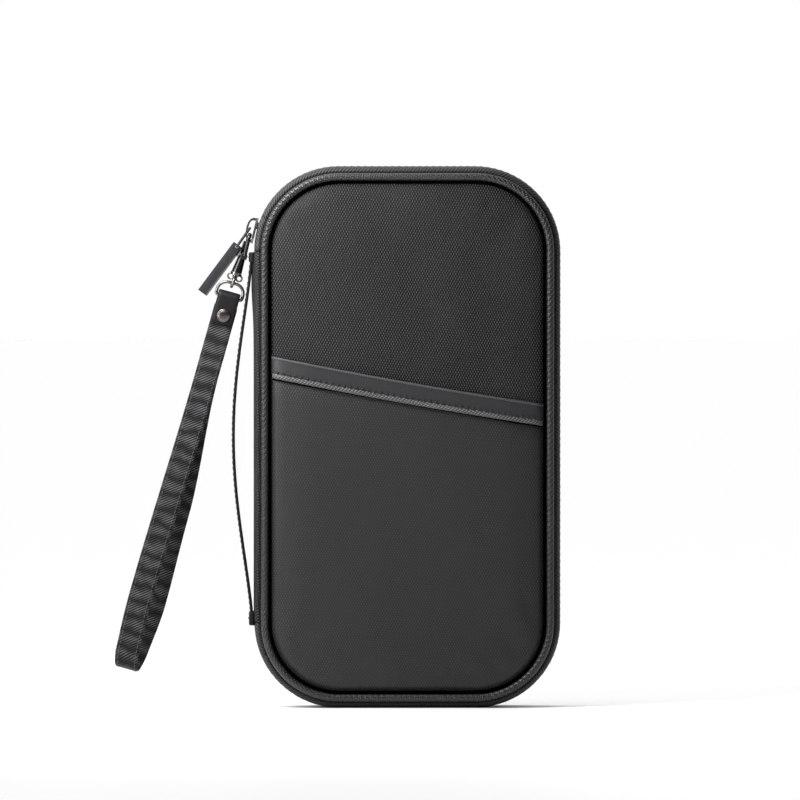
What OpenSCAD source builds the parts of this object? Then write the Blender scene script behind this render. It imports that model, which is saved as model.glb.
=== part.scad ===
// Travel document organizer: a stiff zip-around case standing on its short edge, in
// two board-stiffened halves joined by a cloth spine, with a flat carry handle along
// the spine, and a zip slider that holds a puller and a clipped wrist strap.
// Millimetres. +X is right, +Z is up, -Y is the front. The origin is the middle of
// the face that the case stands on.

/* [Case] */
// Overall width of the closed case, across the front
case_w = 130; // [110:1:150]
// Overall height of the closed case
case_h = 230; // [200:1:260]
// Radius of the four outer corners
corner_r = 36; // [24:1:44]
// Distance from the outer edge to the edge of the padded covers
cover_inset = 7.5; // [6.5:0.1:9]
// Thickness of the zip tape, the spine cloth and the two gussets
wall_t = 1.2; // [0.9:0.1:1.5]
// Diameter of the corded piping round each cover
piping_d = 3.2; // [2.4:0.1:3.4]
// Depth at which the two zip tapes meet, from the middle of the case
zip_y = -1.5; // [-2:0.1:-1.2]
// Gap between the two rows of zip teeth, for the post of the slider
zip_gap = 1.4; // [1.2:0.1:1.6]

/* [Front pocket] */
// Height of the pocket mouth at the left edge
mouth_left_z = 150.7; // [120:0.1:190]
// Height of the pocket mouth at the right edge
mouth_right_z = 128; // [100:0.1:190]
// Width of the trim band along the pocket mouth
band_w = 7; // [4:0.5:12]

/* [Inside pockets] */
// Step between one card slot and the next
card_step = 20; // [14:1:22]
// Thickness of the pocket cloth inside
pocket_t = 0.6; // [0.5:0.1:0.8]

/* [Carry handle] */
// Width of the flat handle strap
handle_w = 12; // [8:0.5:14]
// Thickness of the handle strap, two layers sewn together
handle_t = 1.7; // [1.4:0.1:1.9]

/* [Zip slider] */
// Where the slider is parked, in degrees up the top left corner
slider_at = 13.6; // [13:0.1:14.4]
// Length of the slider plates
slider_len = 11; // [9:0.1:11.4]
// Width of the slider plates
slider_w = 7.2; // [6:0.1:7.6]
// Length of the hexagonal puller bar
bar_len = 25.4; // [16:0.1:30]
// Width of the hexagonal puller bar, across its corners
bar_d = 4.7; // [4:0.1:5]

/* [Wrist strap] */
// Width of the wrist strap
strap_w = 10; // [8:0.5:11]
// Thickness of the wrist strap
strap_t = 1.5; // [1.2:0.1:1.6]
// Length of the wrist strap from the D-ring bar to its lowest point
strap_len = 164; // [120:1:190]
// Diameter of the wire of the D-ring
ring_wire = 1.4; // [1.1:0.1:1.5]
// Diameter of the rivet cap
rivet_d = 5.7; // [4.5:0.1:7]

/* [Output] */
// Which piece to draw

/* [Hidden] */
$fn = 48;
cx = case_w / 2 - corner_r;      // corner centres
zt = case_h - corner_r;
zb = corner_r;
run_h = zt - zb;
half_w = case_w / 2;

// depths of the layers of one half, from the middle of the case outwards
y_lining = 7.3;
y_board = 7.9;
y_board2 = 9.2;
y_cover = 9.4;
y_face = 12.5;
y_turn = 8;                      // inside of the gusset's turned edge
past = 20;                       // beyond any layer, for cuts right through
piping_in = 4.3;
piping_y = 10.9;
cut_arc = 24;                    // how far the zip end cloth reaches round the left corners
tab_half = 4;                    // half width of the zip end cloth
cut_front = 6.6;                 // the gusset stops this far from the middle there
cut_back = 3.4;
slots = 4;                       // card slots in the front half
handle_x = -65.95;               // middle of the handle strap where it is sewn on
handle_bow = 7.9;
handle_top = 193.4;
handle_low = 37;

ink = [0.16, 0.16, 0.17];
ink2 = [0.12, 0.12, 0.13];
grey = [0.23, 0.23, 0.24];
metal = [0.28, 0.28, 0.30];
dark_metal = [0.14, 0.14, 0.15];
satin = [0.30, 0.30, 0.33];

// ---- the closed path round the case ----
// A profile is drawn as [distance in from the outer edge, depth]; these sweep it.
module section(p) { polygon([for (q = p) [corner_r - q[0], -q[1]]]); }

module corner(x, z, a0, a1, p) {
    translate([x, 0, z]) rotate([90, 0, 0]) rotate([0, 0, a0])
        rotate_extrude(angle = a1 - a0) section(p);
}

module straight(x, z, a, len, p) {
    translate([x, 0, z]) rotate([90, 0, 0]) rotate([0, 0, a]) rotate([90, 0, 0])
        linear_extrude(len) section(p);
}

module top_right_bottom(p) {
    straight(-cx, zt, 90, 2 * cx, p);
    corner(cx, zt, 0, 90, p);
    straight(cx, zt, 0, run_h, p);
    corner(cx, zb, 270, 360, p);
    straight(cx, zb, 270, 2 * cx, p);
}

module all_round(p) {
    union() {
        top_right_bottom(p);
        corner(-cx, zt, 90, 180, p);
        corner(-cx, zb, 180, 270, p);
        straight(-cx, zb, 180, run_h, p);
    }
}

// a flat plate with rounded corners, inset from the outer edge
module plate(inset, y0, y1) {
    r = corner_r - inset;
    union() {
        translate([-half_w + inset, y0, zb]) cube([case_w - 2 * inset, y1 - y0, run_h]);
        translate([-cx, y0, inset]) cube([2 * cx, y1 - y0, case_h - 2 * inset]);
        for (x = [-cx, cx], z = [zb, zt])
            translate([x, y0, z]) rotate([-90, 0, 0]) cylinder(h = y1 - y0, r = r);
    }
}

// a wedge of a left corner, between two angles up from the straight side (s = 1) or
// down from it (s = -1), over a range of depth
module wedge(z, s, a0, a1, y0, y1) {
    reach = 60;
    translate([-cx, y1, z]) rotate([90, 0, 0]) linear_extrude(y1 - y0)
        polygon([[0, 0], [-reach * cos(a0), s * reach * sin(a0)], [-reach * cos(a1), s * reach * sin(a1)]]);
}

// one half's gusset: the zip tape on three sides and four corners, and the turned
// edge that is sewn to the cover all round
module gusset(s, edge, cut) {
    outside = [[0, edge], [0, s * 7.6], [0.6, s * 9], [1.8, s * 9.7], [2.6, s * y_board2]];
    seam = [[5.2, s * y_board2], [5.2, s * y_turn]];
    inside = [[wall_t + 0.4, s * y_turn], [wall_t, s * 7.2], [wall_t, edge]];
    full = concat(outside, seam, inside);
    turn = concat([[2.8, s * y_turn], [2.8, s * y_board2]], seam);
    difference() {
        union() {
            top_right_bottom(full);
            corner(-cx, zt, 90, 180, full);
            corner(-cx, zb, 180, 270, full);
            straight(-cx, zb, 180, run_h, turn);
        }
        for (c = [[zt, 1], [zb, -1]])
            wedge(c[0], c[1], -4, cut_arc, min(cut, s * -past), max(cut, s * -past));
    }
}

module coil(y0, y1) {
    p = [[wall_t, y0], [wall_t, y1], [wall_t + 1.2, y1], [wall_t + 1.2, y0]];
    difference() {
        union() {
            top_right_bottom(p);
            corner(-cx, zt, 90, 180, p);
            corner(-cx, zb, 180, 270, p);
        }
        for (c = [[zt, 1], [zb, -1]]) wedge(c[0], c[1], -4, cut_arc, -past, past);
    }
}

// a cover: board-backed padding with a bevelled edge
module cover(s, y1) {
    rim = cover_inset + 14;
    bevel = [[cover_inset, s * y_cover], [cover_inset, s * (y1 - 1.5)], [cover_inset + 2.4, s * y1]];
    edge = concat(bevel, [[rim, s * y1], [rim, s * y_cover]]);
    union() {
        all_round(edge);
        plate(cover_inset + 12, min(s * y_cover, s * y1), max(s * y_cover, s * y1));
    }
}

// everything below a line from the left edge to the right edge
module below(zl, zr) {
    side = half_w + 5;
    rise = (zl - zr) * 5 / case_w;
    rotate([90, 0, 0]) translate([0, 0, -30]) linear_extrude(60)
        polygon([[-side, -5], [side, -5], [side, zr - rise], [-side, zl + rise]]);
}

// ---- back half ----
module back_panel() { color(ink) cover(1, y_face); }
module back_board() { color(grey) plate(5.4, y_board, y_board2); }
module back_lining() { color(ink2) plate(5.4, y_lining, y_board - 0.1); }
module back_piping() { color(ink2) piping(1); }
module back_gusset() { color(ink) gusset(1, zip_y + zip_gap / 2, cut_back); }
module back_zip_coil() { color(dark_metal) coil(zip_y + zip_gap / 2, zip_y + zip_gap / 2 + 2); }

module piping(s) {
    union() {
        for (c = [[cx, zt, 0], [-cx, zt, 90], [-cx, zb, 180], [cx, zb, 270]])
            translate([c[0], 0, c[1]]) rotate([90, 0, 0]) rotate([0, 0, c[2]])
                rotate_extrude(angle = 90) translate([corner_r - piping_in, -s * piping_y])
                    circle(d = piping_d);
        for (c = [[half_w - piping_in, zb], [-half_w + piping_in, zb]])
            translate([c[0], s * piping_y, c[1]]) cylinder(h = run_h, d = piping_d);
        for (z = [piping_in, case_h - piping_in])
            translate([-cx, s * piping_y, z]) rotate([0, 90, 0]) cylinder(h = 2 * cx, d = piping_d);
    }
}

// an inside pocket: a sheet held off the lining by folded edges at the bottom and sides
module inside_pocket(w, z0, z1, y_out, y_in) {
    lo = min(y_out, y_in);
    hi = max(y_out, y_in);
    sheet0 = y_in > 0 ? y_in : y_in - pocket_t;
    union() {
        translate([-w / 2, sheet0, z0]) cube([w, pocket_t, z1 - z0]);
        translate([-w / 2, lo, z0]) cube([w, hi - lo, 1.2]);
        translate([-w / 2, lo, z0]) cube([1.2, hi - lo, z1 - z0]);
        translate([w / 2 - 1.2, lo, z0]) cube([1.2, hi - lo, z1 - z0]);
    }
}

module passport_pocket() { color(grey) inside_pocket(108, 14, 142, y_lining, 5.9); }
module ticket_pocket() { color(ink) inside_pocket(104, 16, 96, 5.9, 4.6); }
module boarding_pocket() {
    color(grey) union() {
        translate([-54, 5.9, 150]) cube([108, pocket_t, 52]);
        translate([-54, 5.9, 150]) cube([108, y_lining - 5.9, 1.2]);
        translate([52.8, 5.9, 150]) cube([1.2, y_lining - 5.9, 52]);
        translate([-54, 5.9, 150]) cube([1.2, y_lining - 5.9, 52]);
    }
}

// ---- spine ----
// one edge of the spine cloth, turned in towards the piping: [in from the side, depth]
spine_edge = [[0, 8.5], [0.6, 9.6], [1.8, 10.4], [2.2, 9.7], [1.9, 8.9], [1.6, 8.2]];
module spine_panel() {
    color(ink) translate([0, 0, zb + 0.3]) linear_extrude(run_h - 0.6)
        polygon(concat(
            [for (p = spine_edge) [p[0] - half_w, -p[1]]],
            [for (i = [len(spine_edge) - 1:-1:0]) [spine_edge[i][0] - half_w, spine_edge[i][1]]]));
}

// middle of the handle strap at a fraction u of the way down, [x, z]: sewn flat at both
// ends and bowed out between them
handle_steps = 24;
function handle_pt(u) =
    [handle_x - handle_bow * pow(sin(180 * u), 1.35), handle_top - u * (handle_top - handle_low)];
function handle_side(u) =
    let (d = handle_pt(min(u + 0.01, 1)) - handle_pt(max(u - 0.01, 0)))
    [-d[1], d[0]] / norm(d) * handle_t / 2;

module side_handle() {
    us = [for (i = [0:handle_steps]) i / handle_steps];
    color(ink2) translate([0, handle_w / 2, 0]) rotate([90, 0, 0]) linear_extrude(handle_w)
        polygon(concat(
            [for (u = us) handle_pt(u) + handle_side(u)],
            [for (i = [handle_steps:-1:0]) handle_pt(us[i]) - handle_side(us[i])]));
}

// a keeper patch over each end of the handle, sewn to the spine on both sides
module keeper(z0, z1, x_face) {
    w = handle_w / 2 + 0.2;
    color(ink2) union() {
        translate([x_face - 0.4, -w - 1.2, z0]) cube([0.4, 2 * w + 2.4, z1 - z0]);
        for (y = [-w - 1.2, w])
            translate([x_face - 0.3, y, z0]) cube([-half_w - x_face + 0.3, 1.2, z1 - z0]);
    }
}
module handle_end_upper() { keeper(189.4, 193.4, -67.15); }
module handle_end_lower() { keeper(35, 40.5, -67.15); }

// the cloth that closes the zip's end, on the spine side of a left corner
module zip_end(z, s) {
    y0 = zip_y - tab_half;
    tape = band(0, wall_t, tab_half);
    union() {
        intersection() {
            corner(-cx, z, s > 0 ? 90 : 180, s > 0 ? 180 : 270, tape);
            wedge(z, s, -4, cut_arc - 1.5, -past, past);
        }
        translate([-half_w, y0, s > 0 ? z - 0.3 : z]) cube([2.2, 2 * tab_half, 0.3]);
        translate([-half_w + 1.6, y0, s > 0 ? z - 7 : z + 0.3]) cube([0.6, 2 * tab_half, 6.7]);
    }
}

// a profile from one distance in from the edge to another, either side of the zip's middle
function band(in0, in1, half) =
    [[in0, zip_y - half], [in0, zip_y + half], [in1, zip_y + half], [in1, zip_y - half]];

module zip_end_upper() {
    color(ink) difference() {
        zip_end(zt, 1);
        // slot for the slider's post, open at the top
        wedge(zt, 1, 6, cut_arc + 4, zip_y - zip_gap / 2 - 0.05, zip_y + zip_gap / 2 + 0.05);
    }
}

module zip_end_lower() { color(ink) zip_end(zb, -1); }

module zip_top_stop() {
    color(metal) intersection() {
        corner(-cx, zt, 90, 180, band(wall_t, wall_t + 0.9, 2.2));
        wedge(zt, 1, 1.5, 4, -past, past);
    }
}
module zip_bottom_stop() {
    color(metal) intersection() {
        corner(-cx, zb, 180, 270, band(wall_t, wall_t + 1.3, 2.6));
        wedge(zb, -1, 16, 20, -past, past);
    }
}

// ---- front half ----
module front_panel() { color(ink) cover(-1, 11.6); }
module front_pocket() {
    color(ink) intersection() {
        plate(cover_inset + 1.2, -12.5, -11.7);
        below(mouth_left_z - 0.5, mouth_right_z - 0.5);
    }
}
module pocket_band() {
    color(ink2) intersection() {
        plate(cover_inset + 1.2, -13.1, -12.5);
        difference() {
            below(mouth_left_z, mouth_right_z);
            below(mouth_left_z - band_w, mouth_right_z - band_w);
        }
    }
}
module front_board() { color(grey) plate(5.4, -y_board2, -y_board); }
module front_lining() { color(ink2) plate(5.4, -y_board + 0.1, -y_lining); }
module front_piping() { color(ink2) piping(-1); }
module front_gusset() { color(ink) gusset(-1, zip_y - zip_gap / 2, -cut_front); }
module front_zip_coil() { color(dark_metal) coil(zip_y - zip_gap / 2 - 2, zip_y - zip_gap / 2); }

// each slot is a sheet behind the one below it, stepping up
module card_slot(k) {
    z0 = 16 + (k - 1) * 1.2;
    y_in = -6.9 + 0.55 * (slots - k);
    union() {
        translate([-52, y_in, z0]) cube([92, 0.4, 56 + (k - 1) * card_step - z0]);
        translate([-52, -7.25, z0]) cube([92, y_in + 7.45, 1]);
    }
}
module card_slot_1() { color(ink) card_slot(1); }
module card_slot_2() { color(grey) card_slot(2); }
module card_slot_3() { color(ink) card_slot(3); }
module card_slot_4() { color(grey) card_slot(4); }
module note_pocket() {
    color(ink) union() {
        translate([-54, -6.5, 134]) cube([108, pocket_t, 66]);
        translate([-54, -7.25, 134]) cube([108, 0.8, 1.2]);
        translate([-54, -7.25, 134]) cube([1.2, 0.8, 66]);
        translate([52.8, -7.25, 134]) cube([1.2, 0.8, 66]);
    }
}

// ---- zip slider, parked up the top left corner ----
// drawn as if parked at the left end of the corner, then turned into place
module at_slider() { translate([-cx, zip_y, zt]) rotate([0, slider_at, 0]) children(); }
r_out = corner_r + 0.4;
r_in = corner_r - wall_t - 2.1;
link_r = 39.1;                   // link pin and hook wire in the bridge window
link_z = 0.6;
hook_r = 38.45;
hook_z = -2.2;

module slider_plate(x0, x1, k) {
    l = slider_len * k / 2;
    w = slider_w * k / 2;
    translate([x0, 0, 0]) rotate([90, 0, 90]) linear_extrude(x1 - x0)
        polygon([
            [-w * 0.8, -l], [w * 0.8, -l], [w, -l * 0.6], [w, l * 0.35],
            [w * 0.62, l], [-w * 0.62, l], [-w, l * 0.35], [-w, -l * 0.6]]);
}

module slider_body() {
    color(metal) at_slider() union() {
        slider_plate(-r_out - 1, -r_out, 1);
        slider_plate(-r_in, -r_in + 0.9, 0.8);
        translate([-r_out - 0.5, -0.42, 0.8]) cube([r_out - r_in + 1, 0.84, 3]);
    }
}

// the bridge is an arch from one end of the outer plate to the other, with a window
bridge_arch = [
    [0, 5.3], [1.1, 5.35], [2.3, 4.5], [3, 3], [3.25, 0.9], [3.1, -1.6], [2.4, -3.6], [1.2, -4.9], [0, -5.2]];
bridge_window = [
    [-0.05, 4.2], [1, 4.2], [1.8, 3.7], [2.2, 2.6], [2.4, 0.9], [2.35, -1.9], [1.9, -3.2], [0.9, -3.95],
    [-0.05, -4]];

module slider_bridge() {
    x0 = r_out + 1;
    color(metal) at_slider() translate([0, 1.2, 0]) rotate([90, 0, 0]) linear_extrude(2.4) difference() {
        polygon([for (p = bridge_arch) [-x0 - p[0], p[1]]]);
        polygon([for (p = bridge_window) [-x0 - p[0], p[1]]]);
    }
}

// where the two pins stand in the window, in the case's own directions
function turned(r, z) =
    [-cx - r * cos(slider_at) + z * sin(slider_at), zt + r * sin(slider_at) + z * cos(slider_at)];
link_pt = turned(link_r, link_z);
hook_pt = turned(hook_r, hook_z);

// ---- puller: a wire link and a hexagonal bar ----
link_lean = 35.1;
bar_lean = 36.7;
link_len = 9.6;
link_wire = 1.1;
link_half = 2.2;
bar_pt = link_pt + link_len * [-sin(link_lean), -cos(link_lean)];

module puller_link() {
    color(dark_metal) translate([link_pt[0], zip_y, link_pt[1]]) rotate([0, link_lean, 0]) union() {
        for (z = [0, -link_len])
            translate([0, -link_half, z]) rotate([-90, 0, 0]) cylinder(h = 2 * link_half, d = link_wire);
        for (y = [-link_half, link_half]) {
            translate([0, y, -link_len]) cylinder(h = link_len, d = link_wire);
            for (z = [0, -link_len]) translate([0, y, z]) sphere(d = link_wire);
        }
    }
}

module puller_bar() {
    color(satin) translate([bar_pt[0], zip_y, bar_pt[1]]) rotate([0, bar_lean, 0]) difference() {
        translate([0, 0, 0.9 - bar_len]) rotate([0, 0, 12]) cylinder(h = bar_len, d = bar_d, $fn = 6);
        // the eye for the end of the link, and room for its two legs
        translate([0, -4, 0]) rotate([-90, 0, 0]) cylinder(h = 8, d = link_wire + 0.3);
        for (y = [-4, link_half - 0.8]) translate([-3, y, -0.9]) cube([6, 4 - link_half + 0.8, 2.2]);
    }
}

// ---- clasp ----
clasp_lean = 19.5;
clasp_turn = 12;                 // the barrel and gate are turned about the clasp's own axis
hook_wire = 1.8;
hook_half = 4.2;
bend = 1.6;
foot_t = 9.5;                    // along the clasp to the pin in the gate's foot
module at_clasp() { translate([hook_pt[0], zip_y, hook_pt[1]]) rotate([0, clasp_lean, 0]) children(); }
module at_gate() { at_clasp() rotate([0, 0, clasp_turn]) children(); }

// a piece of round wire from one point to another
module wire(a, b, d) {
    v = b - a;
    translate(a) rotate([0, acos(v[2] / norm(v)), atan2(v[1], v[0])]) cylinder(h = norm(v), d = d);
}

module clasp_body() {
    sw = sin(clasp_turn);
    cw = cos(clasp_turn);
    color(dark_metal) difference() {
        union() {
            // hook: across the window and round two bends, then one leg and one short tip
            at_clasp() union() {
                translate([0, -hook_half + bend, 0]) rotate([-90, 0, 0])
                    cylinder(h = 2 * (hook_half - bend), d = hook_wire);
                for (s = [-1, 1])
                    translate([0, s * (hook_half - bend), -bend]) rotate([0, -90, 0])
                        rotate([0, 0, s > 0 ? 0 : -90])
                            rotate_extrude(angle = 90) translate([bend, 0]) circle(d = hook_wire);
                wire([0, -hook_half, -bend], [hook_half * sw, -hook_half * cw, -9], hook_wire);
                translate([0, hook_half, -2.9]) cylinder(h = 2.9 - bend, d = hook_wire);
            }
            // shoulder that carries the gate, and the tapered barrel
            at_gate() union() {
                translate([-1.2, -4.7, -10.6]) cube([2.4, 9.9, 2.1]);
                translate([0, 0, -17]) cylinder(h = 7.5, r1 = 2.3, r2 = 1.5);
            }
        }
        at_gate() union() {
            // slot and pin hole for the foot of the gate
            translate([-0.75, 2.4, -10.7]) cube([1.5, 3.6, 2.4]);
            translate([-3, hook_half, -foot_t]) rotate([0, 90, 0]) cylinder(h = 6, d = 0.8);
            // bore for the swivel's stud
            translate([0, 0, -17.1]) cylinder(h = 4.1, d = 1.7);
            translate([0, 0, -15]) cylinder(h = 1.8, d = 2.5);
        }
    }
}
module gate_pin() {
    color(metal) at_gate() translate([-1.2, hook_half, -foot_t]) rotate([0, 90, 0])
        cylinder(h = 2.4, d = 0.8);
}
// the gate closes the hook from its foot up to the tip, and its lever reaches down
// beside the barrel
module clasp_gate() {
    y0 = hook_half;
    arm = [[y0 - 0.8, -foot_t], [y0 - 0.8, -3.2], [y0 + 0.7, -3.2], [y0 + 0.85, -foot_t + 0.3]];
    lever = [[y0 + 3.4, -16.4], [y0 + 2.5, -16.7], [y0 + 0.1, -foot_t - 1.25], [y0 - 0.75, -foot_t - 0.3]];
    color(dark_metal) at_gate() difference() {
        union() {
            translate([-0.6, 0, 0]) rotate([90, 0, 90]) linear_extrude(1.2) polygon(concat(arm, lever));
            translate([-0.6, y0, -foot_t]) rotate([0, 90, 0]) cylinder(h = 1.2, d = 1.7);
        }
        translate([-2, y0, -foot_t]) rotate([0, 90, 0]) cylinder(h = 4, d = 0.9);
    }
}

// ---- swivel, D-ring ----
eye_t = 21.2;                    // along the clasp from the hook wire to the eye
module swivel_eye() {
    color(metal) at_clasp() union() {
        translate([0, 0, -17.6]) cylinder(h = 4.6, d = 1.6);
        translate([0, 0, -14.8]) cylinder(h = 1.4, d = 2.4);
        translate([0, 0, -18.1]) cylinder(h = 1, d = 5);
        // two open scrolls under the collar, either side of the neck of the eye
        for (x = [-1.9, 1.9])
            translate([x, 0, -19.1]) rotate([90, 0, 0]) rotate_extrude() translate([1.2, 0]) circle(d = 0.8);
        translate([0, 0, -19.6]) cylinder(h = 2, d = 1.6);
        translate([0, 0, -eye_t]) rotate([0, 90, 0]) rotate_extrude() translate([2.1, 0]) circle(d = 1.4);
    }
}

ring_lean = 16.3;
ring_half = 5.7;                 // half width of the D-ring, to the middle of its wire
ring_drop = 6.3;
eye_pt = hook_pt + (eye_t + 0.55) * [-sin(clasp_lean), -cos(clasp_lean)];
strap_pt = eye_pt + ring_drop * [-sin(ring_lean), -cos(ring_lean)];

// the D is four bends and a bar: centre line in [x, z] from the wire in the eye
module d_ring() {
    big = 4.2;
    small = 1.1;
    top = ring_half - big;
    foot = ring_half - small;
    color(metal) translate([eye_pt[0], zip_y, eye_pt[1]]) rotate([0, ring_lean, 0]) union() {
        translate([-top, 0, 0]) rotate([0, 90, 0]) cylinder(h = 2 * top, d = ring_wire);
        for (m = [0, 1]) mirror([m, 0, 0]) {
            translate([top, 0, -big]) rotate([90, 0, 0])
                rotate_extrude(angle = 90) translate([big, 0]) circle(d = ring_wire);
            translate([ring_half, 0, -ring_drop + small])
                cylinder(h = ring_drop - small - big, d = ring_wire);
            translate([foot, 0, -ring_drop + small]) rotate([90, 0, 0]) rotate([0, 0, -90])
                rotate_extrude(angle = 90) translate([small, 0]) circle(d = ring_wire);
        }
        translate([-foot, 0, -ring_drop]) rotate([0, 90, 0]) cylinder(h = 2 * foot, d = ring_wire);
    }
}

// ---- wrist strap ----
module at_strap() { translate([strap_pt[0], zip_y, strap_pt[1]]) rotate([0, strap_lean, 0]) children(); }
strap_lean = 15.7;
open_r = 6.6;                    // half depth of the loop at its lower end, to the outside

// half depth of the loop, to the outside of the cloth, at a distance down the strap
function smooth(u) = let (v = max(0, min(1, u))) v * v * (3 - 2 * v);
function half_depth(t) = strap_t + 0.05 + (open_r - strap_t - 0.05) * smooth((t - 14) / 110);

// one side view of the loop's outline, at a distance in from the outside of the cloth
function loop_outline(t0, inset) =
    let (n = 14, t1 = strap_len - open_r, r = open_r - inset, ts = [for (i = [0:n]) t0 + (t1 - t0) * i / n])
    concat(
        [for (t = ts) [-t, -half_depth(t) + inset]],
        [for (a = [15:15:165]) [-t1 - r * sin(a), -r * cos(a)]],
        [for (i = [n:-1:0]) [-ts[i], half_depth(ts[i]) - inset]]);

module wrist_loop() {
    color(ink2) at_strap() rotate([0, -90, 0]) translate([0, 0, -strap_w / 2]) linear_extrude(strap_w)
        difference() {
            polygon(loop_outline(4, 0));
            polygon(loop_outline(15, strap_t));
        }
}

// leather tab folded over the bar of the D-ring, with the strap ends between its layers
module strap_tab() {
    ri = strap_t + 0.1;
    ro = ri + 1;
    w = strap_w - 0.6;
    front_end = 11.4;
    back_end = 13.6;
    color(ink2) at_strap() rotate([0, -90, 0]) translate([0, 0, -w / 2]) linear_extrude(w) difference() {
        polygon(concat(
            [[-back_end, ro], [0, ro]],
            [for (a = [15:15:165]) [ro * sin(a), ro * cos(a)]],
            [[0, -ro], [-front_end, -ro], [-front_end, -ri]],
            [[-2.4, -ri], [-2.4, ri], [-back_end, ri]]));
        circle(r = ring_wire / 2 + 0.25);
    }
}

module rivet_cap() {
    color(metal) at_strap() translate([0, -strap_t - 1.1, -8]) rotate([90, 0, 0]) union() {
        cylinder(h = 0.5, d = rivet_d);
        translate([0, 0, 0.5]) cylinder(h = 0.6, d1 = rivet_d - 0.3, d2 = rivet_d - 1.9);
        translate([0, 0, 1.1]) cylinder(h = 0.3, d1 = rivet_d - 1.9, d2 = rivet_d - 3.9);
    }
}
module rivet_base() {
    color(metal) at_strap() translate([0, strap_t + 1.1, -8]) rotate([-90, 0, 0])
        cylinder(h = 0.7, d = rivet_d - 0.7);
}

back_panel();
back_board();
back_lining();
back_piping();
back_gusset();
back_zip_coil();
passport_pocket();
ticket_pocket();
boarding_pocket();
spine_panel();
side_handle();
handle_end_upper();
handle_end_lower();
zip_end_upper();
zip_end_lower();
zip_top_stop();
zip_bottom_stop();
front_panel();
front_pocket();
pocket_band();
front_board();
front_lining();
front_piping();
front_gusset();
front_zip_coil();
card_slot_1();
card_slot_2();
card_slot_3();
card_slot_4();
note_pocket();
slider_body();
slider_bridge();
puller_link();
puller_bar();
clasp_body();
gate_pin();
clasp_gate();
swivel_eye();
d_ring();
strap_tab();
wrist_loop();
rivet_cap();
rivet_base();
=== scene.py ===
"""Travel document organizer: the looks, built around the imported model.

The case's lengths are in millimetres, and MM turns them into metres. The stage and the camera are in metres.
X is right, Z is up, -Y is the front. A side of -1 is the front half, 1 the back half.
"""
from math import cos, dist, exp, hypot, pi, radians, sin, sqrt, tanh

import bmesh
import bpy
import numpy as np
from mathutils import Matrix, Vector
from mathutils.bvhtree import BVHTree
from mathutils.geometry import delaunay_2d_cdt


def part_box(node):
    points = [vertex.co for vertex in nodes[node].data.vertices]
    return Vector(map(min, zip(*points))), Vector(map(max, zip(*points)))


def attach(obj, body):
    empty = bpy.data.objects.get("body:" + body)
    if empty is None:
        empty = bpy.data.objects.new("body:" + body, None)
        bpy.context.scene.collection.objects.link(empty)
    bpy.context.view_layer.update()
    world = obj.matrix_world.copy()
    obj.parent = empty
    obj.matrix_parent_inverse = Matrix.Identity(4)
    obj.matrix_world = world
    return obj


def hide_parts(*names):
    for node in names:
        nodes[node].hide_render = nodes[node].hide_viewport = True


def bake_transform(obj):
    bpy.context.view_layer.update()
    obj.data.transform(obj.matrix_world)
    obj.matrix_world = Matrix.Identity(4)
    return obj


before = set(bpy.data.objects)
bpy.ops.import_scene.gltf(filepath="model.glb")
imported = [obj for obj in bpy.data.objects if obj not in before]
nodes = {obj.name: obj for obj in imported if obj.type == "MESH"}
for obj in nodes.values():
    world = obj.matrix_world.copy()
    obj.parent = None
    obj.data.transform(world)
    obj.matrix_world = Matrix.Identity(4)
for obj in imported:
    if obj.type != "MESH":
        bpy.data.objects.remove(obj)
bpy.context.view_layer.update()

MM = 0.001

# ---- the case: its outline, and depths and insets from it ----
_, case_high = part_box("back_gusset")
HALF_W = case_high.x / MM
CASE_H = case_high.z / MM
CORNER_R = 36.0
CORNER_X = HALF_W - CORNER_R
TOP_Z = CASE_H - CORNER_R
BOTTOM_Z = CORNER_R
ZIP_Y = -1.5
ZIP_GAP = 0.5
HALVES = (("front", -1), ("back", 1))
PIPING_IN = 4.3
PIPING_Y = 10.9
PIPING_R = 1.6
COVER_IN = 7.3
COVER_Y = 9.3


# ---- meshes ----
def link(obj):
    bpy.context.scene.collection.objects.link(obj)
    return obj


def place(obj, body, node=None):
    """Fastens a piece to its body, and hides the CAD node that it replaces."""
    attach(obj, body)
    if node:
        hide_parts(node)


def new_object(name, verts, faces, uvs=None, material=None):
    """A mesh object from points in mm. uvs is one (u, v) for each corner of each face, in mm."""
    mesh = bpy.data.meshes.new(name)
    mesh.from_pydata([Vector(v) * MM for v in verts], [], faces)
    if uvs is not None:
        layer = mesh.uv_layers.new(name="UVMap")
        layer.data.foreach_set("uv", np.array(uvs, float).ravel())
    mesh.shade_smooth()
    mesh.update()
    if material:
        mesh.materials.append(material)
    return link(bpy.data.objects.new(name, mesh))


def outward(obj):
    """Turns every face to look out."""
    bm = bmesh.new()
    bm.from_mesh(obj.data)
    bmesh.ops.recalc_face_normals(bm, faces=bm.faces)
    bm.to_mesh(obj.data)
    bm.free()
    return obj


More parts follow.
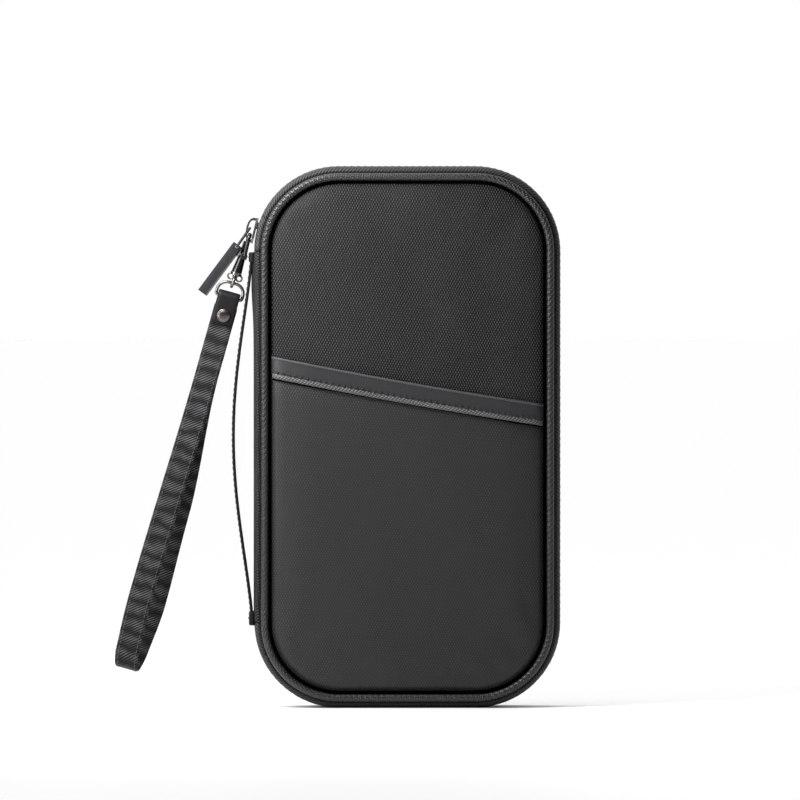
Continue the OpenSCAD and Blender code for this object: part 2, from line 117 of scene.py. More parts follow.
def loft(name, rings, material, close_ring=True, close_path=False):
    """A skin over rings of points, all of one length. u runs along the rings' path, v round each ring.

    Closed rings make a skin that faces out, with a cap at each end of an open path.
    """
    count, size = len(rings), len(rings[0])
    us = [0.0]
    for a, b in zip(rings, rings[1:] + rings[:1]):
        step = sum((Vector(p) - Vector(q)).length for p, q in zip(a, b)) / size
        us.append(us[-1] + step)
    vs = [0.0]
    for p, q in zip(rings[0], rings[0][1:] + rings[0][:1]):
        vs.append(vs[-1] + (Vector(p) - Vector(q)).length)
    verts = [p for ring in rings for p in ring]
    faces, uvs = [], []
    for i in range(count if close_path else count - 1):
        for j in range(size if close_ring else size - 1):
            i2, j2 = (i + 1) % count, (j + 1) % size
            faces.append((i * size + j, i2 * size + j, i2 * size + j2, i * size + j2))
            uvs += [(us[i], vs[j]), (us[i + 1], vs[j]), (us[i + 1], vs[j + 1]), (us[i], vs[j + 1])]
    if close_ring and not close_path:
        for i, order in ((0, 1), (count - 1, -1)):
            cap = [i * size + j for j in range(size)][::order]
            faces.append(tuple(cap))
            uvs += [(us[i], vs[k]) for k in range(size)]
    skin = new_object(name, verts, faces, uvs, material)
    return outward(skin) if close_ring else skin


def lengths_along(points):
    """Distance along a line of points, at each of them."""
    lengths = [0.0]
    for p, q in zip(points, points[1:]):
        lengths.append(lengths[-1] + (q - p).length)
    return lengths


def span_at(marks, value):
    """The span of rising marks that holds a value, and the value less the mark where it starts."""
    k = max(0, min(len(marks) - 2, int(np.searchsorted(marks, value) - 1)))
    return k, value - marks[k]


def tube_faces(base, rings, size):
    """Faces of a closed tube, whose rings of points follow each other from number base."""
    faces = []
    for i in range(rings - 1):
        for j in range(size):
            corners = ((i, j), (i, (j + 1) % size), (i + 1, (j + 1) % size), (i + 1, j))
            faces.append(tuple(base + row * size + k for row, k in corners))
    first, last = ([base + row * size + k for k in range(size)] for row in (0, rings - 1))
    return faces + [tuple(first[::-1]), tuple(last)]


def join(name, parts):
    """One object out of several."""
    bpy.ops.object.select_all(action="DESELECT")
    for part in parts:
        part.select_set(True)
    bpy.context.view_layer.objects.active = parts[0]
    bpy.ops.object.join()
    parts[0].name = name
    parts[0].data.name = name
    return parts[0]


def subdivide(obj):
    """One level of subdivision, applied to the mesh."""
    obj.modifiers.new("Smooth", "SUBSURF").levels = 1
    bpy.context.view_layer.update()
    depsgraph = bpy.context.evaluated_depsgraph_get()
    mesh = bpy.data.meshes.new_from_object(obj.evaluated_get(depsgraph))
    obj.modifiers.clear()
    old = obj.data
    obj.data = mesh
    mesh.name = obj.name
    bpy.data.meshes.remove(old)


# ---- the outline of the case ----
def arc_points(cx, cz, a0, a1, count):
    """Points [x, z, normal x, normal z] round a corner, from angle a0 to a1 in degrees."""
    out = []
    for i in range(count + 1):
        a = radians(a0 + (a1 - a0) * i / count)
        out.append((cx + CORNER_R * cos(a), cz + CORNER_R * sin(a), cos(a), sin(a)))
    return out


def line_points(p, q, normal, step):
    """Points between p and q, both left out."""
    length = dist(p, q)
    count = max(1, round(length / step))
    return [
        (p[0] + (q[0] - p[0]) * i / count, p[1] + (q[1] - p[1]) * i / count, *normal)
        for i in range(1, count)
    ]


def zip_path(step=4.0, corner=22, first=0.0, last=0.0):
    """The open path round the corners, top, right side and bottom, clockwise from the upper left."""
    left, right = -CORNER_X, CORNER_X
    path = arc_points(left, TOP_Z, 180 - first, 90, corner)
    path += line_points((left, CASE_H), (right, CASE_H), (0, 1), step)
    path += arc_points(right, TOP_Z, 90, 0, corner)
    path += line_points((HALF_W, TOP_Z), (HALF_W, BOTTOM_Z), (1, 0), step)
    path += arc_points(right, BOTTOM_Z, 0, -90, corner)
    path += line_points((right, 0), (left, 0), (0, -1), step)
    path += arc_points(left, BOTTOM_Z, -90, -180 + last, corner)
    return path


def full_path(step=4.0, corner=22):
    """The closed path round the whole case."""
    path = zip_path(step, corner)
    return path + line_points((-HALF_W, BOTTOM_Z), (-HALF_W, TOP_Z), (-1, 0), step)


def mirrored(profile, side):
    """A profile for the front half, side -1, or the back half, side 1."""
    return [(inset, side * y) for inset, y in profile]


def ring_at(point, profile):
    """A profile of [distance in from the outline, depth], placed at a point of the outline."""
    x, z, nx, nz = point
    return [(x - nx * inset, y, z - nz * inset) for inset, y in profile]


def sweep(name, path, profile, material, close_ring=True, close_path=False):
    return loft(name, [ring_at(p, profile) for p in path], material, close_ring, close_path)


def circle_profile(inset, y, radius, count=16):
    return [
        (inset + radius * cos(2 * pi * i / count), y + radius * sin(2 * pi * i / count))
        for i in range(count)
    ]


# ---- materials ----
def fill(node, **values):
    """Sets a node's inputs by name, with _ for a space."""
    for key, value in values.items():
        node.inputs[key.replace("_", " ")].default_value = value


class Shader:
    """A material with one Principled BSDF, and short ways to add nodes to it."""

    def __init__(self, name):
        self.material = bpy.data.materials.new(name)
        self.material.use_nodes = True
        self.tree = self.material.node_tree
        self.bsdf = self.tree.nodes["Principled BSDF"]

    def set(self, **values):
        fill(self.bsdf, **values)

    def node(self, kind, **props):
        made = self.tree.nodes.new(kind)
        for key, value in props.items():
            setattr(made, key, value)
        return made

    def link(self, a, b):
        self.tree.links.new(a, b)

    def add(self, a, b, clamp=False):
        return self.math("ADD", a, b, clamp)

    def times(self, a, b, clamp=False):
        return self.math("MULTIPLY", a, b, clamp)

    def math(self, operation, a, b=None, clamp=False):
        made = self.node("ShaderNodeMath", operation=operation, use_clamp=clamp)
        for socket, value in zip(made.inputs, (a, b)):
            if value is None:
                continue
            if isinstance(value, (int, float)):
                socket.default_value = value
            else:
                self.link(value, socket)
        return made.outputs[0]

    def uv(self, scale=(1, 1), turn=0.0):
        """u and v in mm, turned by some degrees and scaled."""
        coords = self.node("ShaderNodeUVMap", uv_map="UVMap")
        mapping = self.node("ShaderNodeMapping")
        fill(mapping, Rotation=(0, 0, radians(turn)), Scale=(*scale, 1))
        self.link(coords.outputs[0], mapping.inputs["Vector"])
        parts = self.node("ShaderNodeSeparateXYZ")
        self.link(mapping.outputs[0], parts.inputs[0])
        return parts.outputs[0], parts.outputs[1], mapping.outputs[0]

    def position(self):
        """The piece's own coordinates, in mm."""
        coords = self.node("ShaderNodeTexCoord")
        mapping = self.node("ShaderNodeMapping")
        fill(mapping, Scale=(1 / MM, 1 / MM, 1 / MM))
        self.link(coords.outputs["Object"], mapping.inputs["Vector"])
        return mapping.outputs[0]

    def noise(self, vector, scale, detail=3.0, rough=0.55):
        made = self.node("ShaderNodeTexNoise")
        fill(made, Scale=scale, Detail=detail, Roughness=rough)
        self.link(vector, made.inputs["Vector"])
        return made.outputs["Fac"]

    def wave(self, value):
        """0 to 1, one turn for each unit of value."""
        return self.add(self.times(self.math("SINE", self.times(value, 2 * pi)), 0.5), 0.5)

    def cosine(self, value):
        return self.math("COSINE", self.times(value, 2 * pi))

    def colour(self, factor, dark, light):
        made = self.node("ShaderNodeMix", data_type="RGBA")
        made.inputs[6].default_value = (*dark, 1)
        made.inputs[7].default_value = (*light, 1)
        self.link(factor, made.inputs[0])
        self.link(made.outputs[2], self.bsdf.inputs["Base Color"])

    def roughness(self, factor, low, high):
        made = self.node("ShaderNodeMapRange")
        fill(made, To_Min=low, To_Max=high)
        self.link(factor, made.inputs["Value"])
        self.link(made.outputs[0], self.bsdf.inputs["Roughness"])

    def bump(self, height, depth):
        made = self.node("ShaderNodeBump")
        fill(made, Distance=depth * MM, Strength=1.0)
        self.link(height, made.inputs["Height"])
        self.link(made.outputs[0], self.bsdf.inputs["Normal"])


def cloth(name, dark, light, pitch, turn=45.0, depth=0.12, pattern="dot", rough=0.8, sheen=0.0, mottle=0.25,
          gloss=0.4, fade=0.0, fuzz=0.2):
    """A woven cloth: diamond dots, ribs, or a twill of slanting lines, with fibre noise over it.

    pitch is across and along, turn in degrees. Where fade is over 0, the dots blur away in soft patches.
    """
    s = Shader(name)
    across, along = pitch if isinstance(pitch, tuple) else (pitch, pitch)
    u, v, vector = s.uv((1 / across, 1 / along), turn)
    if pattern == "dot":
        crossed = s.times(s.cosine(u), s.cosine(v))
        height = s.math("POWER", s.add(s.times(crossed, 0.5), 0.5), 4.0)
        if fade:
            calm = s.times(s.noise(vector, 0.09, 1.0), fade)
            height = s.add(s.times(height, s.math("SUBTRACT", 1.0, calm)), s.times(calm, 0.24))
    else:
        pace, ripple, power = (2.2, 0.22, 0.6) if pattern == "rib" else (1.6, 0.5, 0.8)
        fine = s.add(s.times(s.wave(s.times(v, pace)), ripple), 1 - ripple)
        height = s.times(s.math("POWER", s.wave(u), power), fine)
    fibre = s.noise(vector, 3.1, 4.0, 0.7)
    large = s.noise(vector, 0.035, 2.0, 0.5)
    factor = s.add(s.times(height, 0.85), s.times(fibre, fuzz), clamp=True)
    factor = s.add(factor, s.times(s.math("SUBTRACT", large, 0.5), mottle), clamp=True)
    s.colour(factor, dark, light)
    s.roughness(factor, min(1.0, rough + 0.12), rough - 0.12)
    s.bump(s.add(height, s.times(fibre, 0.3)), depth)
    s.set(Sheen_Weight=sheen, Sheen_Roughness=0.45, Specular_IOR_Level=gloss)
    return s.material


def leather(name, dark, light, grain=0.9, rough=0.46, gloss=0.3):
    s = Shader(name)
    _, _, vector = s.uv((1 / grain, 1 / grain))
    cells = s.node("ShaderNodeTexVoronoi", feature="DISTANCE_TO_EDGE")
    fill(cells, Scale=1.0)
    s.link(vector, cells.inputs["Vector"])
    edge = s.times(cells.outputs["Distance"], 2.2, clamp=True)
    fine = s.noise(vector, 2.4, 5.0, 0.65)
    height = s.add(s.times(edge, 0.7), s.times(fine, 0.5))
    s.colour(s.times(height, 0.8, clamp=True), dark, light)
    s.roughness(height, rough + 0.12, rough - 0.06)
    s.bump(height, 0.06)
    s.set(Specular_IOR_Level=gloss)
    return s.material


def metal(name, colour, rough=0.3, metallic=1.0, scratch=0.02):
    s = Shader(name)
    vector = s.position()
    broad = s.noise(vector, 0.35, 3.0)
    fine = s.noise(vector, 5.0, 4.0, 0.7)
    worn = tuple(min(1.0, c * 1.5 + 0.02) for c in colour)
    s.colour(s.times(broad, 0.6, clamp=True), colour, worn)
    s.roughness(s.add(s.times(broad, 0.6), s.times(fine, 0.4)), rough - 0.08, rough + 0.12)
    s.bump(fine, scratch)
    s.set(Metallic=metallic)
    return s.material


def plastic(name, dark, light, rough=0.55):
    s = Shader(name)
    vector = s.position()
    fine = s.noise(vector, 1.6, 4.0)
    s.colour(fine, dark, light)
    s.roughness(fine, rough - 0.1, rough + 0.1)
    s.bump(fine, 0.03)
    return s.material


def grey(value, blue=0.0):
    return (value, value, value + blue)


def canvas(name):
    return cloth(name, grey(0.0), grey(0.125, 0.004), WEAVE, 3, 0.45, rough=0.46, mottle=0.12, gloss=0.13,
                 fade=0.1, fuzz=0.05)


def thread(name, dark, light):
    return cloth(name, grey(dark), grey(light), 0.35, 30, 0.05, "rib", 0.6)


WEAVE = (1.13, 2.08)
CANVAS = canvas("canvas_front")
POCKET = cloth("canvas_pocket", grey(0.0), grey(0.062, 0.003), WEAVE, 3, 0.2, rough=0.45, mottle=0.08,
               gloss=0.33, fade=0.7, fuzz=0.1)
BACK = canvas("canvas_back")
SPINE = cloth("canvas_spine", grey(0.0), grey(0.11), (1.2, 2.2), 88, 0.35, rough=0.46, gloss=0.14, fuzz=0.1)
PIPING = cloth("piping_cloth", grey(0.0), grey(0.035), (1.3, 1.9), 22, 0.3, rough=0.3, gloss=0.52)
TAPE = cloth("zip_tape", grey(0.0), grey(0.045), 1.2, 36, 0.22, "rib", 0.46, gloss=0.2)
BAND = cloth("band_twill", grey(0.01, 0.002), grey(0.023, 0.003), 0.7, 0, 0.05, "twill", 0.45, 0.02, 0.1)
# The band's folded top edge is real; its paler tone is a painted highlight along the fold.
FOLD_HIGHLIGHT_CLOTH = cloth("band_fold_highlight", grey(0.02, 0.002), grey(0.07, 0.004), 0.9, 30, 0.1, "rib", 0.45, 0.02, 0.1)
# The rolled rib under the band is real; its pale tone is a painted highlight where the rib catches the light.
RIB_HIGHLIGHT_CLOTH = cloth("band_rib_painted_highlight", grey(0.002), grey(0.36), (1.85, 1.1), 20, 0.35, rough=0.34, sheen=0.05)
# Near-black cloth: painted shade in the grooves round the piping and on the piping's lips, and a painted
# shadow line under the pocket's rib.
PAINTED_SHADE_CLOTH = cloth("groove_painted_shade", grey(0.0003), grey(0.001), 0.8, 45, 0.05, rough=0.9, gloss=0.02)
LINING = cloth("lining_cloth", grey(0.022), grey(0.085, 0.003), 0.8, 40, 0.06, "twill", 0.6, 0.05, 0.12)
LINING_DARK = cloth("lining_dark", grey(0.006), grey(0.042, 0.001), (0.8, 1.5), 0, 0.08, sheen=0.05,
                    mottle=0.12)
LEATHER = leather("tab_leather", grey(0.002), grey(0.012, 0.003), gloss=0.14)
HANDLE = leather("handle_leather", grey(0.001), grey(0.005), 0.7, 0.5, 0.16)
THREAD = thread("thread", 0.003, 0.012)
THREAD_LIGHT = thread("thread_light", 0.06, 0.16)
THREAD_GREY = thread("thread_grey", 0.008, 0.03)
THREAD_STRAP = thread("thread_strap", 0.02, 0.07)
GUNMETAL = metal("gunmetal", (0.14, 0.135, 0.13), 0.22)
RIVET = metal("rivet_bronze", (0.11, 0.096, 0.088), 0.26, scratch=0.005)
BLACK_METAL = metal("black_metal", (0.03, 0.03, 0.031), 0.24)
BAR_PAINT = metal("bar_paint", (0.022, 0.022, 0.026), 0.28, 0.6, 0.01)
TEETH = plastic("zip_teeth", grey(0.006), grey(0.02), 0.38)
BOARD = plastic("board", grey(0.10), grey(0.16), 0.8)


def strap_twill():
    """Strap cloth: a fine slanting twill, and soft cross bands where the pile lies the other way, in the
    roughness and as painted sheen in the colour.
    """
    s = Shader("strap_twill")
    u, _, vector = s.uv()
    _, slant, _ = s.uv((1 / 0.95, 1 / 0.95), 52)
    lines = s.math("POWER", s.wave(slant), 0.8)
    fibre = s.noise(vector, 2.4, 4.0, 0.7)
    drift = s.noise(vector, 0.12, 2.0)
    # Cross bands of painted sheen: lighter and darker stretches along the strap, in its colour as well as its
    # roughness.
    bands = s.wave(s.add(s.math("DIVIDE", u, 6.8), s.times(drift, 1.1)))
    bands = s.times(bands, s.add(s.times(s.noise(vector, 0.21, 1.0), 0.9), 0.15))
    sparkle = s.times(s.math("POWER", lines, 2.0), s.add(s.times(bands, 1.1), 0.12))
    factor = s.add(s.times(sparkle, 0.9), s.times(fibre, 0.12), clamp=True)
    s.colour(factor, grey(0.0), grey(0.12, 0.003))
    s.roughness(bands, 0.75, 0.45)
    s.bump(s.add(lines, s.times(fibre, 0.3)), 0.22)
    s.set(Sheen_Weight=0.0, Specular_IOR_Level=0.07)
    return s.material


STRAP = strap_twill()


# ---- stitches ----
def stitch_row(name, points, normals, material, body, pitch, length, radius):
    """A row of thread stitches along points, lying on a surface with these normals."""
    pts = [Vector(p) for p in points]
    lengths = lengths_along(pts)

    def at(d):
        k, past = span_at(lengths, d)
        t = past / max(1e-9, lengths[k + 1] - lengths[k])
        return pts[k].lerp(pts[k + 1], t), Vector(normals[k]).lerp(Vector(normals[k + 1]), t).normalized()

    verts, faces, uvs = [], [], []
    sides, sections = 6, 7
    d = pitch / 2
    while d < lengths[-1] - pitch / 2:
        a, na = at(d - length / 2)
        b, _ = at(d + length / 2)
        along = (b - a).normalized()
        side = along.cross(na).normalized()
        base = len(verts)
        for i in range(sections):
            t = i / (sections - 1)
            swell = sqrt(max(0.0, 1 - (2 * t - 1) ** 2)) * 0.75 + 0.25
            centre = a.lerp(b, t) + na * radius * (1.3 * swell - 0.75)
            for j in range(sides):
                angle = 2 * pi * j / sides
                verts.append(centre + (side * cos(angle) + na * sin(angle)) * radius * swell)
        faces += tube_faces(base, sections, sides)
        for i in range(sections - 1):
            u = d + i * 0.3
            for j in range(sides):
                v = j * 0.25
                uvs += [(u, v), (u, v + 0.25), (u + 0.3, v + 0.25), (u + 0.3, v)]
        uvs += [(d, 0.0)] * sides * 2
        d += pitch
    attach(outward(new_object(name, verts, faces, uvs, material)), body)


def lining_stitches(name, points, half, side, pitch=3.0, length=2.1):
    """A row of pale stitches on the inside of a half."""
    stitch_row(name, points, [(0, -side, 0)] * len(points), THREAD_LIGHT, f"{half}_half", pitch, length, 0.17)


# ---- padded covers ----
ROLL = 7.5
ROLL_RISE = 2.4
CROWN = 0.6
CROWN_SPREAD = 22.0
EDGE_RINGS = (0.0, 0.35, 0.8, 1.4, 2.2, 3.2, 4.4, 6.0, 8.0, 10.5)
FACE_FROM = 12.3
FACE_STEP = 3.6
HELD_EDGE = 1.0
PUFF_CAP = 0.5


def cover_height(d):
    """How far the cover stands out at a distance in from its edge."""
    t = min(max(d / ROLL, 0.0), 1.0)
    roll = (1 - (1 - t) ** 2.6) ** 0.95
    return ROLL_RISE * roll + CROWN * (1 - exp(-max(d, 0) / CROWN_SPREAD))


def inset_outline(inset):
    """Points of the outline at a distance in from the case's edge."""
    return [(x - nx * inset, z - nz * inset) for x, z, nx, nz in full_path(3.0, 18)]


def edge_distance(x, z, inset=COVER_IN):
    """Distance in from the outline at this inset, at a point inside it."""
    qx = abs(x) - CORNER_X
    centre = CASE_H / 2
    qz = abs(z - centre) - (TOP_Z - centre)
    outside = hypot(max(qx, 0), max(qz, 0))
    return CORNER_R - inset - outside - min(max(qx, qz), 0)


def cover_mesh(name, side, material, base_y):
    """One padded cover: from under the piping, up its rolled edge and over its crowned face."""
    points = []
    for d in EDGE_RINGS:
        points += inset_outline(COVER_IN + d)
    boundary = len(inset_outline(COVER_IN))
    nx = int(HALF_W / FACE_STEP) + 1
    nz = int(CASE_H / FACE_STEP) + 1
    for j in range(nz):
        for i in range(-nx, nx + 1):
            x = (i + (0.5 if j % 2 else 0)) * FACE_STEP
            z = j * FACE_STEP + 1.3
            if edge_distance(x, z) > FACE_FROM:
                points.append((x, z))
    edges = [(i, (i + 1) % boundary) for i in range(boundary)]
    made = delaunay_2d_cdt([Vector(p) for p in points], edges, [], 1, 1e-4)
    flat, tris = made[0], made[2]
    verts = [(p.x, side * (base_y + cover_height(edge_distance(p.x, p.y))), p.y) for p in flat]
    faces = [tuple(t) if side < 0 else tuple(t)[::-1] for t in tris]
    uvs = [(verts[k][0], verts[k][2]) for f in faces for k in f]
    return new_object(name, verts, faces, uvs, material)


def puff(obj, side, cap):
    """Blows the cover's face up a little as cloth held along its edge, and keeps the move under a cap."""
    rest = [v.co.copy() for v in obj.data.vertices]
    group = obj.vertex_groups.new(name="held")
    held = [v.index for v in obj.data.vertices if edge_distance(v.co.x / MM, v.co.z / MM) < HELD_EDGE]
    group.add(held, 1.0, "REPLACE")
    modifier = obj.modifiers.new("Cloth", "CLOTH")
    settings = modifier.settings
    settings.quality = 6
    settings.use_pressure = True
    settings.uniform_pressure_force = 4.0
    settings.effector_weights.gravity = 0
    settings.vertex_group_mass = "held"
    settings.tension_stiffness = 40
    settings.compression_stiffness = 40
    settings.bending_stiffness = 6
    frames = 20
    modifier.point_cache.frame_end = frames
    scene = bpy.context.scene
    for step in range(1, frames + 1):
        scene.frame_set(step)
    depsgraph = bpy.context.evaluated_depsgraph_get()
    moved = [v.co.copy() for v in obj.evaluated_get(depsgraph).data.vertices]
    obj.modifiers.clear()
    scene.frame_set(1)
    cap *= MM
    for v, a, b in zip(obj.data.vertices, rest, moved):
        out = (b.y - a.y) * side
        v.co = Vector((a.x, a.y + side * cap * tanh(out / cap), a.z))
    obj.data.update()


def drop_tool(obj):
    """A function from (x, z) to the depth of the cover's face there."""
    bm = bmesh.new()
    bm.from_mesh(obj.data)
    tree = BVHTree.FromBMesh(bm)
    bm.free()
    side = -1 if obj.data.vertices[0].co.y < 0 else 1

    def depth(x, z):
        hit = tree.ray_cast(Vector((x * MM, side * 0.05, z * MM)), Vector((0, -side, 0)))[0]
        return hit.y / MM if hit else side * 10.0

    return depth


def edge_skirt(half, side):
    """The cloth at the bottom of the groove between piping and cover, turned up to the cover's edge,
    near-black as painted shade.
    """
    profile = [(4.4, 9.32), (5.4, 9.28), (6.4, 9.28), (7.1, 9.3), (7.35, 9.34), (7.5, 9.4)]
    skirt = sweep(f"{half}_groove", full_path(), mirrored(profile, side), PAINTED_SHADE_CLOTH, close_ring=False,
                  close_path=True)
    place(skirt, f"{half}_half")


def cover(half, side, material):
    obj = cover_mesh(f"{half}_cover", side, material, COVER_Y)
    puff(obj, side, PUFF_CAP)
    subdivide(obj)
    place(obj, f"{half}_half", f"{half}_panel")
    return obj


front = cover("front", -1, CANVAS)
front_depth = drop_tool(front)
cover("back", 1, BACK)
for half, side in HALVES:
    edge_skirt(half, side)


# ---- front slip pocket ----
MOUTH_LEFT = Vector((-57.5, 149.5))
MOUTH_RIGHT = Vector((57.5, 129.2))
MOUTH_SAG = 0.7
MOUTH_REACH = 57.4
SEAM_DROP = 9.4
STITCH_DROP = 6.35
STITCH_OFF = 1.84
SHEET_OFF = 0.95


def smooth_step(u):
    v = min(max(u, 0.0), 1.0)
    return v * v * (3 - 2 * v)


def mouth(x, below=0.0):
    """Height of the pocket's mouth at x, or of a line that far under it."""
    t = (x - MOUTH_LEFT.x) / (MOUTH_RIGHT.x - MOUTH_LEFT.x)
    slope = (MOUTH_RIGHT - MOUTH_LEFT).normalized()
    z = MOUTH_LEFT.y + t * (MOUTH_RIGHT.y - MOUTH_LEFT.y) - MOUTH_SAG * sin(pi * min(max(t, 0), 1))
    return z - below / slope.x


def pocket_sheet():
    """The pocket's cloth: the cover's own face below the mouth, a little further out."""
    bm = bmesh.new()
    bm.from_mesh(front.data)
    slope = (MOUTH_RIGHT - MOUTH_LEFT).normalized()
    bmesh.ops.bisect_plane(
        bm, geom=bm.verts[:] + bm.edges[:] + bm.faces[:], plane_co=(0, 0, mouth(0, SEAM_DROP) * MM),
        plane_no=(-slope.y, 0, slope.x), clear_outer=True)
    for v in bm.verts:
        x, z = v.co.x / MM, v.co.z / MM
        d = edge_distance(x, z)
        under = smooth_step((mouth(x, SEAM_DROP) - z) / 9.0)
        v.co.y -= SHEET_OFF * min(1.0, 0.35 + d / 3.0) * (0.3 + 1.2 * sqrt(under)) * MM
    bmesh.ops.dissolve_degenerate(bm, dist=1e-6, edges=bm.edges)
    mesh = bpy.data.meshes.new("front_pocket_sheet")
    bm.to_mesh(mesh)
    bm.free()
    mesh.materials.clear()
    mesh.materials.append(POCKET)
    mesh.shade_smooth()
    return link(bpy.data.objects.new("front_pocket_sheet", mesh))


sheet = pocket_sheet()
place(sheet, "front_half", "front_pocket")

# sections along the mouth: [distance down, stand-off]. The band's goes from behind the pocket's edge over
# its fold and down to the seam.
BAND_SECTION = [(3.0, 0.15), (1.2, 0.15), (0.35, 0.25), (0.1, 0.7), (0.2, 1.3), (0.5, 1.55), (1.2, 1.6),
                (4.0, 1.55), (6.0, 1.6), (6.9, 1.6), (7.2, 1.3), (7.6, 0.8)]
FOLD_SECTION = [(0.1, 0.5), (0.0, 1.0), (0.02, 1.5), (0.25, 1.9), (0.6, 1.95), (0.95, 1.8), (1.05, 1.5)]
RIB_SECTION = [(6.95, 1.0), (6.95, 1.55), (7.15, 1.9), (7.6, 2.15), (8.1, 2.2), (8.6, 2.1), (9.0, 1.75),
               (9.15, 1.2), (9.15, 0.5)]
SEAM_SECTION = [(9.0, 0.5), (9.25, 0.2), (9.5, 0.2), (9.7, 0.35)]


def along_mouth(name, section, material, reach, node=None):
    """A strip along the pocket's mouth, lying on the padded cover."""
    rings = []
    for x in np.linspace(-reach, reach, 90):
        ring = []
        for down, off in section:
            z = mouth(x, down)
            d = edge_distance(x, z)
            depth = front_depth(x * 0.999, z) if d > 0.3 else -COVER_Y - cover_height(max(d, 0.0))
            ring.append((x, depth - off * min(1.0, 0.45 + max(d, 0) / 3.0), z))
        rings.append(ring)
    place(loft(name, rings, material, close_ring=False), "front_half", node)


def mouth_stitches():
    row = []
    for x in np.linspace(-56.6, 56.6, 60):
        z = mouth(x, STITCH_DROP)
        row.append((x, front_depth(x, z) - STITCH_OFF, z))
    stitch_row("mouth_stitches", row, [(0, -1, 0)] * len(row), THREAD, "front_half", 2.65, 1.5, 0.4)


along_mouth("pocket_mouth_band", BAND_SECTION, BAND, MOUTH_REACH + 0.4, "pocket_band")
# pale fold strip: painted highlight along the band's top edge
along_mouth("pocket_mouth_fold_highlight", FOLD_SECTION, FOLD_HIGHLIGHT_CLOTH, MOUTH_REACH + 0.4)
# pale rib: painted highlight along the rolled seam
along_mouth("pocket_mouth_rib", RIB_SECTION, RIB_HIGHLIGHT_CLOTH, MOUTH_REACH)
# The seam strip is near-black: a painted shadow line under the rib.
along_mouth("pocket_mouth_seam_shadow", SEAM_SECTION, PAINTED_SHADE_CLOTH, MOUTH_REACH)
mouth_stitches()


# ---- piping, gussets, zip ----
CUT_ARC = 24.0
CUT_FRONT = 6.6
CUT_BACK = 3.4
TEETH_IN = 1.75
TEETH_PITCH = 1.45
GUSSET_OUT = [(3.6, 8.75), (3.0, 8.6), (2.5, 8.85), (2.0, 9.2), (1.45, 9.25), (0.9, 8.95), (0.45, 8.4),
              (0.15, 7.7), (0.0, 6.8), (0.0, 6.0)]
GUSSET_IN = [(1.2, 6.6), (1.5, 7.3), (2.2, 7.8), (3.4, 8.2)]
LIP = [(4.6, 8.9), (3.8, 8.8), (3.5, 9.2), (3.9, 9.6), (4.6, 9.7), (5.6, 9.6)]


def piping(half, side):
    """The cord round a cover, and its flat lips, sewn between cover and gusset. The lips are near-black:
    painted shade beside the cord.
    """
    path = full_path(3.0, 26)
    cord = sweep(f"{half}_piping_cord", path, circle_profile(PIPING_IN, side * PIPING_Y, PIPING_R), PIPING,
                 close_path=True)
    place(cord, f"{half}_half", f"{half}_piping")
    # near-black lips: painted shade in the groove beside the cord
    lip = sweep(f"{half}_piping_lip", path, mirrored(LIP, side), PAINTED_SHADE_CLOTH, close_path=True)
    place(lip, f"{half}_half")


def gusset(half, side):
    """Zip tape with its turned edge: a skin from the piping to the zip's middle and back inside."""
    def past_zip(y):
        return ZIP_Y + side * (ZIP_GAP + y)

    middle = [(0.0, ZIP_Y + side * 3.6), (0.0, ZIP_Y + side * 2.6), (0.04, past_zip(0.7)),
              (0.16, past_zip(0.2)), (0.42, past_zip(0.0)), (0.95, past_zip(0.0)), (1.15, past_zip(0.4)),
              (1.2, past_zip(2.0))]
    path = zip_path(3.0, 26, CUT_ARC, CUT_ARC)
    whole = mirrored(GUSSET_OUT, side) + middle + mirrored(GUSSET_IN, side)
    pieces = [sweep(f"{half}_gusset_tape", path, whole, TAPE)]
    # beside the spine's zip end, only the edge next to the piping goes on
    cut = CUT_FRONT if side < 0 else CUT_BACK
    part = mirrored(GUSSET_OUT[:9] + [(0.1, cut + 0.3), (0.6, cut), (1.1, cut + 0.3)] + GUSSET_IN, side)
    for name, z, a0, a1 in (("upper", TOP_Z, 180, 180 - CUT_ARC), ("lower", BOTTOM_Z, -180 + CUT_ARC, -180)):
        arc = arc_points(-CORNER_X, z, a0, a1, 8)
        pieces.append(sweep(f"{half}_{name}", arc, part, TAPE))
    place(join(f"{half}_gusset_tape", pieces), f"{half}_half", f"{half}_gusset")
    path = zip_path(3.0, 26, CUT_ARC + 3, CUT_ARC + 3)
    line = [ring_at(p, [(0.1, ZIP_Y + side * 4.3)])[0] for p in path]
    normals = [(p[2], 0, p[3]) for p in path]
    stitch_row(f"{half}_tape_stitches", line, normals, THREAD, f"{half}_half", 2.9, 2.1, 0.16)


